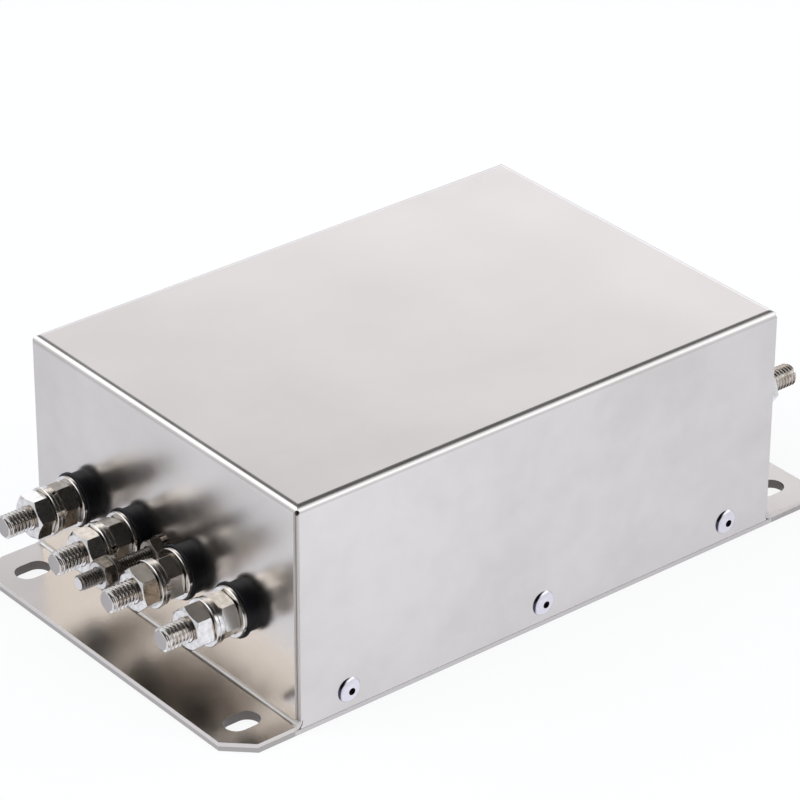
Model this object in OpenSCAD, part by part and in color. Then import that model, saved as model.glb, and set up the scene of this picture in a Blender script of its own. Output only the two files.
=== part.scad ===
// Four-line EMI filter in a folded sheet case with screw terminals at both ends.
// Millimetres, +Z up, +X along the case, underside of the base plate at Z = 0.

/* [Case] */
// Length of the case over its end walls
case_len = 150; // [146:1:190]
// Width of the case over its long side walls
case_w = 105; // [102:1:130]
// Height of the cover, from the underside of its flanges to its top
case_h = 60; // [52:1:75]
// Thickness of the cover, base plate and rail sheet
sheet = 1.2; // [1:0.1:1.5]
// Outside radius of the folds round the top of the cover
fold_r = 2; // [1.6:0.1:3]
// Inside radius of the folds into the flanges and rails
foot_r = 1; // [0.6:0.1:1.2]
// Gap in the seam at each upright corner of the cover
seam_gap = 0.1; // [0.05:0.05:0.2]
// Distance from the face of an end wall to the edge of a long wall
seam_step = 0.7; // [0.6:0.05:0.95]
// Gap between the long side walls and the base plate
wall_gap = 0.1; // [0.05:0.05:0.2]
// Radius of the relief holes at the top of the seams
relief_r = 0.55; // [0.4:0.05:0.8]

/* [Flanges] */
// Length of each end flange beyond the end wall
flange_len = 18.5; // [16:0.5:24]
// Corner cut of the flanges along the length
cut_x = 6.8; // [4:0.2:8]
// Corner cut of the flanges along the width
cut_y = 6.5; // [4:0.5:8]
// Width of the mounting slots
slot_w = 6.5; // [5.5:0.5:7]
// Length of the mounting slots over their round ends
slot_len = 9.5; // [8:0.5:12]
// Distance from the end wall to the middle of a slot
slot_out = 9; // [8:0.5:12]
// Distance from the long side to the middle of a slot
slot_in = 10; // [9:0.5:14]

/* [Rails and rivets] */
// Height of the rails that stand inside the long walls
rail_h = 12; // [11:0.5:16]
// Width of the rail foot on the base plate
rail_foot = 10; // [8:0.5:12]
// Distance from an end wall to the end of a rail
rail_end = 8; // [4:0.5:10]
// Distance from an end wall to the nearest rivet
rivet_end = 15; // [14:0.5:24]
// Height of the rivets above the underside
rivet_z = 6.4; // [6:0.1:7]
// Shank diameter of the blind rivets
rivet_d = 3.2; // [3:0.2:4]
// Head diameter of the blind rivets
rivet_head_d = 6.6; // [6:0.2:7]
// Height of the rivet heads
rivet_head_h = 1.25; // [1.1:0.05:1.4]
// Rounding of the edge of the rivet heads
rivet_rim_r = 1.2; // [0.9:0.1:1.4]
// Diameter of the hole for the rivet mandrel
mandrel_d = 1.9; // [1.6:0.1:2.1]
// Depth of the broken mandrel below the face of the wall
mandrel_depth = 1.4; // [1:0.1:2]

/* [Terminals] */
// Distance between neighbouring terminals
pitch = 21.2; // [21.2:0.2:22.4]
// Height of the terminals above the underside
axis_z = 25.4; // [24:0.2:28]
// Thread diameter of the terminal screws
screw_d = 6; // [6:1:6]
// Thread diameter inside a nut, where both threads meet
screw_pitch_d = 5.35; // [5.35:0.01:5.35]
// Reach of the line screws beyond the end wall
line_reach = 24; // [22:0.5:28]
// Reach of the load screws beyond the end wall
load_reach = 25.6; // [22:0.1:28]
// Size across flats of the nuts and screw heads
nut_af = 10; // [10:1:10]
// Height of the nuts
nut_h = 4.8; // [4.7:0.1:5.2]
// Height of the screw heads inside the case
head_h = 4; // [3.6:0.1:4.2]
// Length of the bushes outside the end wall
bush_h = 3.6; // [3:0.1:5]
// Diameter of the bush rim
bush_d = 14; // [13:0.2:14]
// Diameter of the bush behind its rim
bush_neck_d = 12.6; // [11:0.2:12.6]
// Height of the bush rim
rim_h = 0.8; // [0.6:0.1:1.2]
// Diameter of the terminal holes in the end walls
hole_d = 10; // [9:0.2:10.6]
// Height of the inner bushes
inner_h = 2; // [1.5:0.1:2.5]
// Diameter of the inner bushes
inner_d = 13; // [12:0.2:13]
// Diameter of the seat washers
seat_d = 13; // [12:0.2:13]
// Diameter of the flat washers
flat_d = 12.2; // [11:0.2:12.6]
// Thickness of the seat washers and flat washers
flat_h = 1.1; // [1:0.1:1.6]
// Diameter of the spring washers
spring_d = 11.8; // [11:0.2:12]
// Thickness of the spring washers
spring_h = 1.4; // [1.2:0.1:1.6]

/* [Earth screws] */
// Thread diameter of the earth screws
earth_d = 4; // [4:1:4]
// Thread diameter inside an earth nut
earth_pitch_d = 3.545; // [3.545:0.001:3.545]
// Reach of the earth screws beyond the end wall
earth_reach = 24.5; // [22:0.5:28]
// Free thread at the tip of the earth screws
earth_free = 5.7; // [4:0.1:7]
// Size across flats of the earth nuts and heads
earth_af = 7; // [7:1:7]
// Height of the earth nuts
earth_nut_h = 3.2; // [2.9:0.1:3.4]
// Diameter of the earth washers
earth_washer_d = 8; // [7.4:0.2:8]
// Thickness of the earth washers
earth_washer_h = 0.8; // [0.6:0.1:1]

/* [Lugs and leads] */
// Thickness of the ring lugs
lug_h = 0.8; // [0.8:0.1:1.2]
// Diameter of the ring of a terminal lug
lug_d = 11; // [10.4:0.2:12]
// Diameter of the leads over their insulation
lead_d = 2.6; // [2.2:0.1:3]
// Bend radius of the leads at their middle
lead_bend = 3; // [2:0.5:3]
// Height of the lower lead runs above the choke
lead_rise = 8; // [6:0.5:9]
// Height between the lower and the upper lead runs
lead_step = 6; // [4:0.5:6]

/* [Board] */
// Thickness of the circuit board
board_h = 1.6; // [1.6:0.4:2.4]
// Distance from a long side of the case to the edge of the board
board_side = 9.5; // [9:0.5:12]
// Distance from an end wall to the end of the board
board_end = 11; // [10:0.5:14]
// Height of the standoffs above the base plate
standoff_h = 4.8; // [4:0.2:6]
// Diameter of the standoffs
standoff_d = 6; // [5.5:0.5:7]
// Thread diameter of the board screws
board_screw_d = 3; // [3:1:3]
// Length of the board screws under their heads
board_screw_l = 5; // [5:1:6]
// Diameter of the heads of the board screws
board_head_d = 5.6; // [5:0.2:5.8]
// Height of the heads of the board screws
board_head_h = 1.9; // [1.6:0.1:2.2]

/* [Choke] */
// Outside diameter of the cased core
core_d = 58; // [54:1:60]
// Diameter of the hole through the cased core
core_hole_d = 32; // [30:1:36]
// Height of the cased core
core_h = 24; // [18:1:26]
// Thickness of the flat winding wire
wire = 2; // [1.6:0.1:2.2]
// Turns in each of the four windings
turns = 8; // [6:1:8]
// Gap between the winding wire and the core
coil_gap = 0.2; // [0.1:0.1:0.4]
// Diameter of the hub of the divider between the windings
hub_d = 12; // [10:1:14]
// Diameter of the hole in the hub
hub_hole_d = 7; // [5:1:8]
// Thickness of the vanes of the divider
vane_t = 1.6; // [1.2:0.1:2]

/* [Capacitors and resistors] */
// Length of the X capacitors
xcap_l = 26.5; // [22:0.5:27]
// Thickness of the X capacitors
xcap_t = 10; // [8:0.5:11]
// Height of the X capacitors
xcap_h = 19; // [15:0.5:20]
// Length of the Y capacitors
ycap_l = 13; // [10:0.5:13]
// Thickness of the Y capacitors
ycap_t = 5; // [4:0.5:6]
// Height of the Y capacitors
ycap_h = 11; // [9:0.5:14]
// Body diameter of the bleeder resistors
res_d = 4.5; // [3.6:0.1:5]
// Body length of the bleeder resistors
res_l = 11; // [9:0.5:14]

/* [Hidden] */
$fn = 48;
// Working clearance between parts that pass through one another
fit = 0.05;
// Play of a wide clearance hole
play = 0.4;
// How far a cut runs on past the face that it goes through
past = 1;

half_l = case_len / 2;
half_w = case_w / 2;
in_x = half_l - sheet;
in_y = half_w - sheet;
top_z = sheet + case_h;
end_x = half_l + flange_len;
foot_out = foot_r + sheet;
knee_z = 2 * sheet + foot_r;
slot_x = half_l + slot_out;
slot_y = half_w - slot_in;
rail_y = in_y - fit;
rail_len = case_len - 2 * rail_end;
screw_y = [1.5 * pitch, 0.5 * pitch, -0.5 * pitch, -1.5 * pitch];
rivet_x = [-half_l + rivet_end, 0, half_l - rivet_end];

rivet_grip = 2 * sheet + fit;
rivet_swell = 0.75 * rivet_d;

// Terminal stack, measured out from the face of the end wall
seat_z = bush_h;
clamp_z = seat_z + flat_h;
spring_z = clamp_z + nut_h;
flat_z = spring_z + spring_h;
outer_z = flat_z + flat_h;
thread_z = outer_z + nut_h;
lug_z = -sheet - inner_h;
head_z = lug_z - lug_h;

// Earth stack, measured the same way
earth_clamp_z = earth_washer_h;
earth_outer_z = earth_reach - earth_free - earth_nut_h;
earth_flat_z = earth_outer_z - earth_washer_h;
earth_spring_z = earth_flat_z - earth_washer_h;
earth_head_h = 2.8;

stub_d = 0.9 * standoff_d;
tapped_d = 0.9 * board_screw_d;
board_z = sheet + standoff_h;
deck_z = board_z + board_h;
board_len = case_len - 2 * board_end;
board_w = case_w - 2 * board_side;
standoff_x = board_len / 2 - 0.75 * standoff_d;
core_z = deck_z + wire + coil_gap;
coil_top = core_z + core_h + coil_gap + wire;
coil_in = core_hole_d / 2 - coil_gap - wire;
coil_out = core_d / 2 + coil_gap + wire;
turn_step = wire / (coil_in + wire / 2) * 180 / PI;
coil_half = turn_step * (turns - 1) / 2;
barrel_d = lead_d + 1.6;
barrel_len = 8;
lug_neck = 3;
tongue = lug_d / 2 + lug_neck;
earth_tongue = earth_washer_d / 2 + 2;
run_z = max(coil_top + lead_rise, axis_z + tongue + barrel_len + lead_bend);
coil_angle = [135, 45, 315, 225];
// Share of each step between turns that is open outside the hole of the core
fan_gap = 0.36;
part_x = (coil_out + half_l + head_z - head_h) / 2;

// Turn of each hexagon about its screw, as the nuts were left after tightening
clamp_turn = [45, 44, 0, 20];
outer_turn = [36, 30, 14, 11];
split_turn = [-20, -69, 100, 150];

// Places children on a wall: their +Z points out of the end wall
module on_line_wall(y) {
  translate([-half_l, y, axis_z]) rotate([0, -90, 0]) children();
}

module on_load_wall(y) {
  translate([half_l, y, axis_z]) rotate([0, 90, 0]) children();
}

module four_corners(x, y) {
  for (sx = [-1, 1]) {
    for (sy = [-1, 1]) translate([sx * x, sy * y, 0]) children();
  }
}

// Quarter of a fold, seen along it: the sheet bends round the origin
module fold_2d(r_in) {
  intersection() {
    difference() {
      circle(r_in + sheet);
      circle(r_in);
    }
    translate([-r_in - 2 * sheet, -r_in - 2 * sheet]) square(r_in + 2 * sheet);
  }
}

// Upright box section with the two top corners folded
module box_2d(w, h, r) {
  translate([-w / 2, 0]) square([w, h - r]);
  translate([-w / 2 + r, 0]) square([w - 2 * r, h]);
  for (s = [-1, 1]) translate([s * (w / 2 - r), h - r]) circle(r);
}

module box_body(l, w, h, r) {
  intersection() {
    rotate([90, 0, 0]) linear_extrude(w, center = true) box_2d(l, h, r);
    rotate([90, 0, 90]) linear_extrude(l, center = true) box_2d(w, h, r);
  }
}

module plate_2d() {
  polygon([
    [-end_x + cut_x, -half_w], [end_x - cut_x, -half_w],
    [end_x, -half_w + cut_y], [end_x, half_w - cut_y],
    [end_x - cut_x, half_w], [-end_x + cut_x, half_w],
    [-end_x, half_w - cut_y], [-end_x, -half_w + cut_y]
  ]);
}

module slots_2d() {
  four_corners(slot_x, slot_y) {
    square([slot_len - slot_w, slot_w], center = true);
    for (s = [-1, 1]) translate([s * (slot_len - slot_w) / 2, 0]) circle(slot_w / 2);
  }
}

// Section of one end flange with its fold up into the end wall
module foot_2d() {
  translate([half_l + foot_r, knee_z]) fold_2d(foot_r);
  translate([half_l + foot_r, sheet]) square([flange_len - foot_r, sheet]);
  translate([in_x, knee_z]) square([sheet, sheet]);
}

// Room that the ends of the long walls leave for the fold into a flange
module fold_room_2d() {
  intersection() {
    translate([half_l + foot_r, knee_z]) circle(foot_out + seam_gap);
    translate([in_x - seam_gap, 0]) square([foot_out, knee_z]);
  }
  translate([half_l - seam_step, 0]) square([sheet + past, knee_z]);
}

module shell() {
  difference() {
    translate([0, 0, sheet]) box_body(case_len, case_w, case_h, fold_r);
    box_body(2 * in_x, 2 * in_y, top_z - sheet, fold_r - sheet);
    for (s = [0, 1]) {
      // Room under the long walls, and for the folds below the end walls
      mirror([0, s, 0]) translate([-half_l, in_y - past, 0]) {
        cube([case_len, sheet + 2 * past, sheet + wall_gap]);
      }
      mirror([s, 0, 0]) {
        translate([in_x, -in_y, 0]) cube([sheet + past, 2 * in_y, knee_z]);
        rotate([90, 0, 0]) linear_extrude(case_w + 2 * past, center = true) fold_room_2d();
      }
    }
  }
}

// Open seam at one upright corner: the long wall laps the edge of the end wall
module seam() {
  edge_y = in_y - seam_gap;
  deep = sheet + seam_gap + past;
  rise = top_z - sheet - knee_z;
  hole_in = fold_r * (1 - cos(30));
  hole_down = fold_r * (1 - sin(30));
  translate([half_l - seam_step, edge_y, knee_z]) cube([deep, deep, rise]);
  translate([in_x - seam_gap, edge_y, knee_z]) cube([sheet, seam_gap, rise]);
  // The flange and its fold keep the full width of the case
  translate([in_x - seam_gap, edge_y, knee_z]) cube([deep, deep, seam_gap]);
  // Relief hole through the corner, level with the folds
  translate([half_l - hole_in, half_w - hole_in, top_z - hole_down]) rotate([0, acos(1 / sqrt(3)), 45]) {
    cylinder(h = 3 * sheet, r = relief_r, center = true);
  }
}

module cover() {
  color("Silver")
  difference() {
    union() {
      shell();
      intersection() {
        for (s = [0, 1]) mirror([s, 0, 0]) {
          rotate([90, 0, 0]) linear_extrude(case_w - 2 * wall_gap, center = true) foot_2d();
        }
        linear_extrude(2 * knee_z) plate_2d();
      }
    }
    for (a = [0, 1]) mirror([a, 0, 0]) {
      for (b = [0, 1]) mirror([0, b, 0]) seam();
    }
    linear_extrude(2 * sheet + past) slots_2d();
    for (y = screw_y) {
      on_line_wall(y) wall_hole(hole_d);
      on_load_wall(y) wall_hole(hole_d);
    }
    on_both_walls() wall_hole(earth_d + play);
    rivet_holes();
  }
}

module wall_hole(d) {
  translate([0, 0, -sheet - past]) cylinder(h = sheet + 2 * past, d = d);
}

module rivet_holes() {
  for (x = rivet_x) {
    translate([x, 0, rivet_z]) rotate([90, 0, 0]) {
      cylinder(h = case_w + 2 * past, d = rivet_d + 2 * fit, center = true);
    }
  }
}

module base_plate() {
  color("Gainsboro")
  difference() {
    linear_extrude(sheet) plate_2d();
    translate([0, 0, -past]) linear_extrude(sheet + 2 * past) slots_2d();
    translate([0, 0, -past]) four_corners(standoff_x, pitch) cylinder(h = sheet + 2 * past, d = stub_d);
  }
}

// Angle rail: one leg on the base plate, one against the long wall
module rail() {
  difference() {
    rotate([90, 0, 90]) linear_extrude(rail_len, center = true) {
      translate([-rail_y + foot_out, sheet + foot_out]) fold_2d(foot_r);
      translate([-rail_y, sheet + foot_out]) square([sheet, rail_h - foot_out]);
      translate([-rail_y + foot_out, sheet]) square([rail_foot - foot_out, sheet]);
    }
    rivet_holes();
  }
}

module front_rail() {
  color("LightSteelBlue") rail();
}

module rear_rail() {
  color("LightSteelBlue") mirror([0, 1, 0]) rail();
}

// Places children at each rivet: their +Z points out of the long wall
module at_rivets() {
  for (b = [0, 1]) mirror([0, b, 0]) {
    for (x = rivet_x) translate([x, -half_w, rivet_z]) rotate([90, 0, 0]) children();
  }
}

// Half profile of a rivet head: a flat dome that runs smoothly into a rounded rim
module rivet_head_2d() {
  edge_slope = 65;
  rim_x = rivet_head_d / 2 - rivet_rim_r * sin(edge_slope);
  rim_y = -rivet_rim_r * cos(edge_slope);
  rise = rivet_head_h - rivet_rim_r - rim_y;
  slope = 2 * atan(rise / rim_x);
  dome_r = rivet_rim_r + rim_x / sin(slope);
  intersection() {
    union() {
      translate([0, rivet_head_h - dome_r]) intersection() {
        circle(dome_r, $fn = 96);
        square([dome_r * sin(slope), dome_r]);
      }
      translate([rim_x, rim_y]) circle(rivet_rim_r);
      square([rim_x, rivet_head_h / 2]);
    }
    square([rivet_head_d, rivet_head_h]);
  }
}

// Set blind rivet: domed head, hollow shank, swollen blind end
module rivet() {
  difference() {
    union() {
      rotate_extrude() rivet_head_2d();
      translate([0, 0, -rivet_grip]) cylinder(h = rivet_grip + rivet_head_h / 2, d = rivet_d);
      translate([0, 0, -rivet_grip - rivet_swell]) {
        cylinder(h = rivet_swell, d1 = rivet_d, d2 = 1.5 * rivet_d);
      }
    }
    translate([0, 0, -rivet_grip - rivet_swell - past]) {
      cylinder(h = rivet_grip + rivet_swell + rivet_head_h + 2 * past, d = mandrel_d);
    }
  }
}

module side_rivets() {
  color("WhiteSmoke") at_rivets() rivet();
}

// What stays of the steel mandrel: its head pulled up to the blind end, and its broken stem
module rivet_mandrels() {
  head_t = mandrel_d / 2;
  seat = -rivet_grip - rivet_swell;
  color("DimGray")
  at_rivets() translate([0, 0, seat - head_t]) {
    cylinder(h = head_t - seat - mandrel_depth, d = mandrel_d - 2 * fit);
    cylinder(h = head_t, d1 = mandrel_d, d2 = rivet_d - 2 * fit);
  }
}

// Flat ring with small edge bevels on its outside
module ring(d_out, d_in, h, bevel) {
  rotate_extrude() polygon([
    [d_in / 2, 0], [d_out / 2 - bevel, 0], [d_out / 2, bevel],
    [d_out / 2, h - bevel], [d_out / 2 - bevel, h], [d_in / 2, h]
  ]);
}

// Outer half of a bush: spigot in the wall, neck, rim and a recess for the seat washer
module bush() {
  spigot = sheet / 2 - fit;
  rotate_extrude() polygon([
    [screw_d / 2 + 0.2, -spigot], [hole_d / 2 - 0.1, -spigot], [hole_d / 2 - 0.1, 0],
    [bush_neck_d / 2, 0], [bush_neck_d / 2, bush_h - rim_h - 0.3],
    [bush_d / 2, bush_h - rim_h], [bush_d / 2, bush_h - 0.2], [bush_d / 2 - 0.2, bush_h],
    [screw_d / 2 + 0.2, bush_h]
  ]);
}

module inner_bush() {
  spigot = sheet / 2 - fit;
  translate([0, 0, -sheet - inner_h]) rotate_extrude() polygon([
    [screw_d / 2 + 0.2, 0], [inner_d / 2 - 0.3, 0], [inner_d / 2, 0.3], [inner_d / 2, inner_h],
    [hole_d / 2 - 0.1, inner_h], [hole_d / 2 - 0.1, inner_h + spigot],
    [screw_d / 2 + 0.2, inner_h + spigot]
  ]);
}

// Hexagon with both faces turned down to a round
module hex(af, h) {
  corner = af / sqrt(3);
  face = 0.95 * af / 2;
  round_r = corner + 0.1;
  rise = (round_r - face) * tan(30);
  intersection() {
    cylinder(h = h, r = corner, $fn = 6);
    rotate_extrude() polygon([
      [0, 0], [face, 0], [round_r, rise], [round_r, h - rise], [face, h], [0, h]
    ]);
  }
}

module nut(af, h, d, bore_d) {
  mouth = (d - bore_d) / 2 + 0.25;
  difference() {
    hex(af, h);
    translate([0, 0, -past]) cylinder(h = h + 2 * past, d = bore_d + 2 * fit);
    translate([0, 0, -0.01]) cylinder(h = mouth, d1 = bore_d + 2 * mouth, d2 = bore_d);
    translate([0, 0, h - mouth + 0.01]) cylinder(h = mouth, d1 = bore_d, d2 = bore_d + 2 * mouth);
  }
}

// Split ring: the two ends of the coil stand apart at a slant
module spring_washer(d_out, d_in, h) {
  difference() {
    ring(d_out, d_in, h, 0.15);
    translate([d_out / 2, 0, h / 2]) rotate([20, 0, 0]) {
      cube([d_out, 0.06 * d_out, 4 * h], center = true);
    }
  }
}

// Headed screw; under each nut it is drawn at the diameter where the threads meet
module screw(d, neck_d, reach, under_head, head_af, head_t, necks, neck_h) {
  bevel = 0.08 * d;
  difference() {
    union() {
      translate([0, 0, under_head]) cylinder(h = reach - bevel - under_head, d = d);
      translate([0, 0, reach - bevel]) cylinder(h = bevel, d1 = d, d2 = d - 2 * bevel);
      translate([0, 0, under_head - head_t]) hex(head_af, head_t);
    }
    for (z = necks) translate([0, 0, z]) difference() {
      cylinder(h = neck_h, d = 2 * d);
      translate([0, 0, -past]) cylinder(h = neck_h + 2 * past, d = neck_d);
    }
  }
}

module terminal_screw(reach) {
  screw(screw_d, screw_pitch_d, reach, head_z, nut_af, head_h, [clamp_z, outer_z], nut_h);
}

module earth_screw() {
  screw(earth_d, earth_pitch_d, earth_reach, -sheet - lug_h, earth_af, earth_head_h,
    [earth_clamp_z, earth_outer_z], earth_nut_h);
}

module line_bush(i) {
  color("DimGray") on_line_wall(screw_y[i]) bush();
}

module load_bush(i) {
  color("DimGray") on_load_wall(screw_y[i]) bush();
}

module line_inner_bushes() {
  color("DimGray") for (y = screw_y) on_line_wall(y) inner_bush();
}

module load_inner_bushes() {
  color("DimGray") for (y = screw_y) on_load_wall(y) inner_bush();
}

module line_screw(i) {
  color("LightGray") on_line_wall(screw_y[i]) terminal_screw(line_reach);
}

module load_screw(i) {
  color("LightGray") on_load_wall(screw_y[i]) terminal_screw(load_reach);
}

module line_seat_washers() {
  color("Silver")
  for (y = screw_y) on_line_wall(y) translate([0, 0, seat_z]) ring(seat_d, screw_d + play, flat_h, 0.15);
}

module load_seat_washers() {
  color("Silver")
  for (y = screw_y) on_load_wall(y) translate([0, 0, seat_z]) ring(seat_d, screw_d + play, flat_h, 0.15);
}

module line_clamp_nuts() {
  color("Gainsboro")
  for (i = [0:3]) on_line_wall(screw_y[i]) translate([0, 0, clamp_z]) {
    rotate([0, 0, clamp_turn[i]]) nut(nut_af, nut_h, screw_d, screw_pitch_d);
  }
}

module load_clamp_nuts() {
  color("Gainsboro")
  for (i = [0:3]) on_load_wall(screw_y[i]) translate([0, 0, clamp_z]) {
    rotate([0, 0, clamp_turn[3 - i]]) nut(nut_af, nut_h, screw_d, screw_pitch_d);
  }
}

module line_spring_washers() {
  color("DarkGray")
  for (i = [0:3]) on_line_wall(screw_y[i]) translate([0, 0, spring_z]) {
    rotate([0, 0, split_turn[i]]) spring_washer(spring_d, screw_d + 0.2, spring_h);
  }
}

module load_spring_washers() {
  color("DarkGray")
  for (i = [0:3]) on_load_wall(screw_y[i]) translate([0, 0, spring_z]) {
    rotate([0, 0, split_turn[3 - i]]) spring_washer(spring_d, screw_d + 0.2, spring_h);
  }
}

module line_flat_washers() {
  color("Silver")
  for (y = screw_y) on_line_wall(y) translate([0, 0, flat_z]) ring(flat_d, screw_d + play, flat_h, 0.15);
}

module load_flat_washers() {
  color("Silver")
  for (y = screw_y) on_load_wall(y) translate([0, 0, flat_z]) ring(flat_d, screw_d + play, flat_h, 0.15);
}

module line_outer_nuts() {
  color("Gainsboro")
  for (i = [0:3]) on_line_wall(screw_y[i]) translate([0, 0, outer_z]) {
    rotate([0, 0, outer_turn[i]]) nut(nut_af, nut_h, screw_d, screw_pitch_d);
  }
}

module load_outer_nuts() {
  color("Gainsboro")
  for (i = [0:3]) on_load_wall(screw_y[i]) translate([0, 0, outer_z]) {
    rotate([0, 0, outer_turn[3 - i]]) nut(nut_af, nut_h, screw_d, screw_pitch_d);
  }
}

module on_both_walls() {
  on_line_wall(0) children();
  on_load_wall(0) children();
}

module line_earth_screw() {
  color("LightGray") on_line_wall(0) earth_screw();
}

module load_earth_screw() {
  color("LightGray") on_load_wall(0) earth_screw();
}

// Lock washer with teeth round its outside
module earth_lock_washers() {
  teeth = 12;
  color("DarkGray")
  on_both_walls() difference() {
    cylinder(h = earth_washer_h, d = earth_washer_d - 0.4);
    translate([0, 0, -past]) cylinder(h = earth_washer_h + 2 * past, d = earth_d + 0.2);
    for (k = [0:teeth - 1]) rotate([0, 0, k * 360 / teeth]) {
      translate([0.39 * earth_washer_d, -0.35, -past]) cube([2, 0.7, earth_washer_h + 2 * past]);
    }
  }
}

module earth_clamp_nuts() {
  color("Gainsboro")
  on_both_walls() translate([0, 0, earth_clamp_z]) {
    nut(earth_af, earth_nut_h, earth_d, earth_pitch_d);
  }
}

module earth_spring_washers() {
  color("DarkGray")
  on_both_walls() translate([0, 0, earth_spring_z]) {
    rotate([0, 0, 60]) spring_washer(earth_washer_d - 0.6, earth_d + 0.2, earth_washer_h);
  }
}

module earth_flat_washers() {
  color("Silver")
  on_both_walls() translate([0, 0, earth_flat_z]) ring(earth_washer_d, earth_d + play, earth_washer_h, 0.1);
}

module earth_outer_nuts() {
  color("Gainsboro")
  on_both_walls() translate([0, 0, earth_outer_z]) rotate([0, 0, 22]) {
    nut(earth_af, earth_nut_h, earth_d, earth_pitch_d);
  }
}

// Ring lug in the plane of the wall: its tongue and barrel run along +X of the screw frame
module lug(d, hole, tongue, barrel) {
  difference() {
    union() {
      cylinder(h = lug_h, d = d);
      translate([0, -barrel / 2, 0]) cube([tongue, barrel, lug_h]);
      translate([tongue - 1, 0, lug_h - barrel / 2]) rotate([0, 90, 0]) {
        cylinder(h = barrel_len, d = barrel);
      }
    }
    translate([0, 0, -past]) cylinder(h = lug_h + 2 * past, d = hole);
    translate([tongue, 0, lug_h - barrel / 2]) rotate([0, 90, 0]) {
      cylinder(h = barrel_len, d = lead_d + 2 * fit);
    }
  }
}

module line_lugs() {
  color("Khaki") for (y = screw_y) on_line_wall(y) translate([0, 0, head_z]) {
    lug(lug_d, screw_d + play, tongue, barrel_d);
  }
}

module load_lugs() {
  color("Khaki") for (y = screw_y) on_load_wall(y) translate([0, 0, head_z]) {
    rotate([0, 0, 180]) lug(lug_d, screw_d + play, tongue, barrel_d);
  }
}

module earth_lugs() {
  color("Khaki") {
    on_line_wall(0) translate([0, 0, -sheet - lug_h]) {
      rotate([0, 0, 180]) lug(earth_washer_d, earth_d + play, earth_tongue, barrel_d);
    }
    on_load_wall(0) translate([0, 0, -sheet - lug_h]) {
      lug(earth_washer_d, earth_d + play, earth_tongue, barrel_d);
    }
  }
}

// Quarter bend of a lead in the upright plane of +X, from rising to running along it
module elbow() {
  translate([lead_bend, 0, 0]) rotate([90, 0, 0]) rotate([0, 0, 90]) {
    rotate_extrude(angle = 90) translate([lead_bend, 0]) circle(d = lead_d);
  }
}

// Lead that rises at p from z_from, runs at z_run and drops at q to z_to
module lead(p, q, z_from, z_run, z_to) {
  d = q - p;
  translate(p) rotate([0, 0, atan2(d.y, d.x)]) {
    translate([0, 0, z_from]) cylinder(h = z_run - lead_bend - z_from, d = lead_d);
    translate([0, 0, z_run - lead_bend]) elbow();
    translate([lead_bend, 0, z_run]) rotate([0, 90, 0]) cylinder(h = norm(d) - 2 * lead_bend, d = lead_d);
    translate([norm(d), 0, z_run - lead_bend]) mirror([1, 0, 0]) elbow();
    translate([norm(d), 0, z_to]) cylinder(h = z_run - lead_bend - z_to, d = lead_d);
  }
}

function polar(r, a) = [r * cos(a), r * sin(a)];

lead_x = half_l + head_z + lug_h - barrel_d / 2;
lead_from = axis_z + tongue + 1;
end_mid = (core_hole_d + core_d) / 4;
end_in = core_hole_d / 2 + lead_d / 2 + 1;
end_out = core_d / 2 - lead_d / 2 - 1;

// The outer line terminals feed the windings on their own side, the inner ones those beyond
module line_leads() {
  color("Firebrick")
  for (s = [0, 1]) mirror([0, s, 0]) {
    lead([-lead_x, 1.5 * pitch], polar(end_mid, 135 + coil_half), lead_from, run_z, coil_top);
    lead([-lead_x, 0.5 * pitch], polar(end_in, 45 + coil_half), lead_from, run_z + lead_step, coil_top);
  }
}

module load_leads() {
  color("Firebrick")
  for (s = [0, 1]) mirror([0, s, 0]) {
    lead([lead_x, 1.5 * pitch], polar(end_out, 135 - coil_half), lead_from, run_z, coil_top);
    lead([lead_x, 0.5 * pitch], polar(end_mid, 45 - coil_half), lead_from, run_z, coil_top);
  }
}

// Earth leads drop from their lugs and turn in onto the board
module earth_leads() {
  x = in_x - barrel_d / 2;
  x_end = board_len / 2 - 2;
  top = axis_z - earth_tongue - 1;
  low = deck_z + lead_d / 2 + lead_bend;
  color("YellowGreen")
  for (s = [0, 1]) mirror([s, 0, 0]) {
    translate([x, 0, low]) cylinder(h = top - low, d = lead_d);
    translate([x, 0, low]) rotate([0, 180, 0]) elbow();
    translate([x_end, 0, low - lead_bend]) rotate([0, 90, 0]) {
      cylinder(h = x - x_end - lead_bend, d = lead_d);
    }
  }
}

module board() {
  color("DarkOliveGreen")
  difference() {
    translate([-board_len / 2, -board_w / 2, board_z]) cube([board_len, board_w, board_h]);
    translate([0, 0, board_z - past]) four_corners(standoff_x, pitch) {
      cylinder(h = board_h + 2 * past, d = board_screw_d + play);
    }
  }
}

// Standoff pressed into the base plate, tapped from the top
module board_standoffs() {
  color("LightGray")
  four_corners(standoff_x, pitch) difference() {
    union() {
      translate([0, 0, sheet]) cylinder(h = standoff_h, d = standoff_d);
      cylinder(h = sheet + past, d = stub_d - 2 * fit);
    }
    translate([0, 0, sheet]) cylinder(h = standoff_h + past, d = tapped_d);
  }
}

module board_screws() {
  color("Silver")
  four_corners(standoff_x, pitch) translate([0, 0, deck_z]) difference() {
    union() {
      cylinder(h = board_head_h, d1 = board_head_d, d2 = 0.82 * board_head_d);
      translate([0, 0, -board_screw_l]) {
        cylinder(h = board_screw_l + board_head_h / 2, d = tapped_d - 2 * fit);
      }
    }
    for (a = [0, 90]) translate([0, 0, board_head_h]) rotate([0, 0, a]) {
      cube([board_head_d / 2, board_head_d / 8, board_head_h], center = true);
    }
  }
}

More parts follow.
